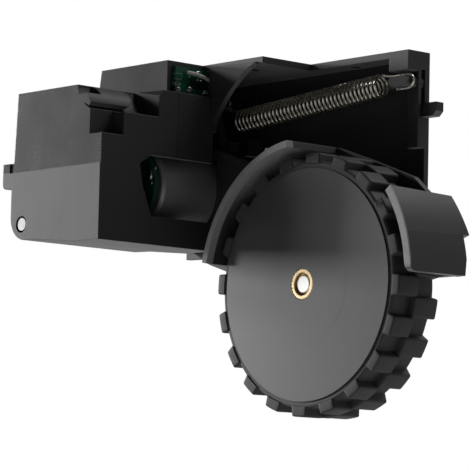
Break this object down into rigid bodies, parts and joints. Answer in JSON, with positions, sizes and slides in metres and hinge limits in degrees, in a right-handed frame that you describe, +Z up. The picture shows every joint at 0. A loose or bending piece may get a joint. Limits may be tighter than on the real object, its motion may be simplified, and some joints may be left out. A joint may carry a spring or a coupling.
{
  "type": "robot vacuum wheel module",
  "caption": "Drive wheel module for a robot vacuum: lugged wheel on a sprung gear case arm with its motor, in a black moulded housing.",
  "frame": {"origin": "a point on the top face of the housing's flange, the seat that meets the robot's chassis", "axes": "+X fore and aft, from the suspension pivot to the wheel; +Y inward along the axle, away from the wheel's outer face; +Z up"},
  "size_m": [0.1441, 0.0713, 0.1049],
  "materials": {
    "housing": "fine satin moulding",
    "case": "fine satin moulding",
    "rim": "fine satin moulding",
    "tyre": "matt",
    "rubber": "matt",
    "steel": "turned",
    "spring_steel": "drawn wire",
    "brass": "turned",
    "bronze": "sintered",
    "board": "solder mask",
    "solder": "soldered",
    "socket": "moulded",
    "contacts": "plated",
    "white_lead": "insulation",
    "red_lead": "insulation",
    "motor_steel": "dark plated can",
    "gear": "moulded",
    "magnet": "dark"
  },
  "bodies": {
    "frame": {"frame_housing": "housing", "pivot_pin": "steel", "pivot_clip": "steel", "connector_board": "board", "solder_joints": "solder", "contact_block": "socket", "contact_pins": "contacts", "stop_pad": "rubber", "return_spring": "spring_steel", "lead_white": "white_lead", "lead_red": "red_lead"},
    "arm": {"gear_case_outer": "case", "gear_case_inner": "case", "case_screws": "steel", "bush_outer": "bronze", "bush_inner": "bronze", "motor_can": "motor_steel", "motor_end_cap": "socket", "motor_screws": "steel", "encoder_board": "board", "first_gear_pin": "steel", "second_gear_pin": "steel", "third_gear_pin": "steel"},
    "wheel": {"wheel_rim": "rim", "tyre": "tyre", "hub_insert": "brass", "axle_shaft": "steel", "axle_clip": "steel", "output_gear": "gear"},
    "third_stage": {"third_gear": "gear"},
    "second_stage": {"second_gear": "gear"},
    "first_stage": {"first_gear": "gear"},
    "rotor": {"motor_shaft": "steel", "drive_pinion": "brass", "encoder_disc": "magnet"}
  },
  "joints": [
    {"name": "arm_swing", "type": "hinge", "parent": "frame", "child": "arm", "pos_m": [-0.0444, -0.006, -0.0485], "axis": [0, -1, 0], "range_deg": [0, 18], "stiffness_Nm_per_rad": 0.8, "springref_deg": -28.65, "deforming": ["return_spring", "lead_white", "lead_red"]},
    {"name": "wheel_spin", "type": "hinge", "parent": "arm", "child": "wheel", "pos_m": [0.048, -0.006, -0.0688], "axis": [0, 1, 0], "continuous": true},
    {"name": "third_gear_spin", "type": "hinge", "parent": "arm", "child": "third_stage", "pos_m": [0.0227, -0.006, -0.05961], "axis": [0, 1, 0], "continuous": true},
    {"name": "second_gear_spin", "type": "hinge", "parent": "arm", "child": "second_stage", "pos_m": [0.00744, -0.006, -0.04825], "axis": [0, 1, 0], "continuous": true},
    {"name": "first_gear_spin", "type": "hinge", "parent": "arm", "child": "first_stage", "pos_m": [-0.0102, -0.006, -0.04412], "axis": [0, 1, 0], "continuous": true},
    {"name": "rotor_spin", "type": "hinge", "parent": "arm", "child": "rotor", "pos_m": [-0.024, -0.006, -0.0368], "axis": [0, 1, 0], "continuous": true}
  ],
  "couplings": [
    {"joint": "third_gear_spin", "follows": "wheel_spin", "ratio": -2.7222},
    {"joint": "second_gear_spin", "follows": "wheel_spin", "ratio": 5.4444},
    {"joint": "first_gear_spin", "follows": "wheel_spin", "ratio": -17.889},
    {"joint": "rotor_spin", "follows": "wheel_spin", "ratio": 74.537}
  ]
}
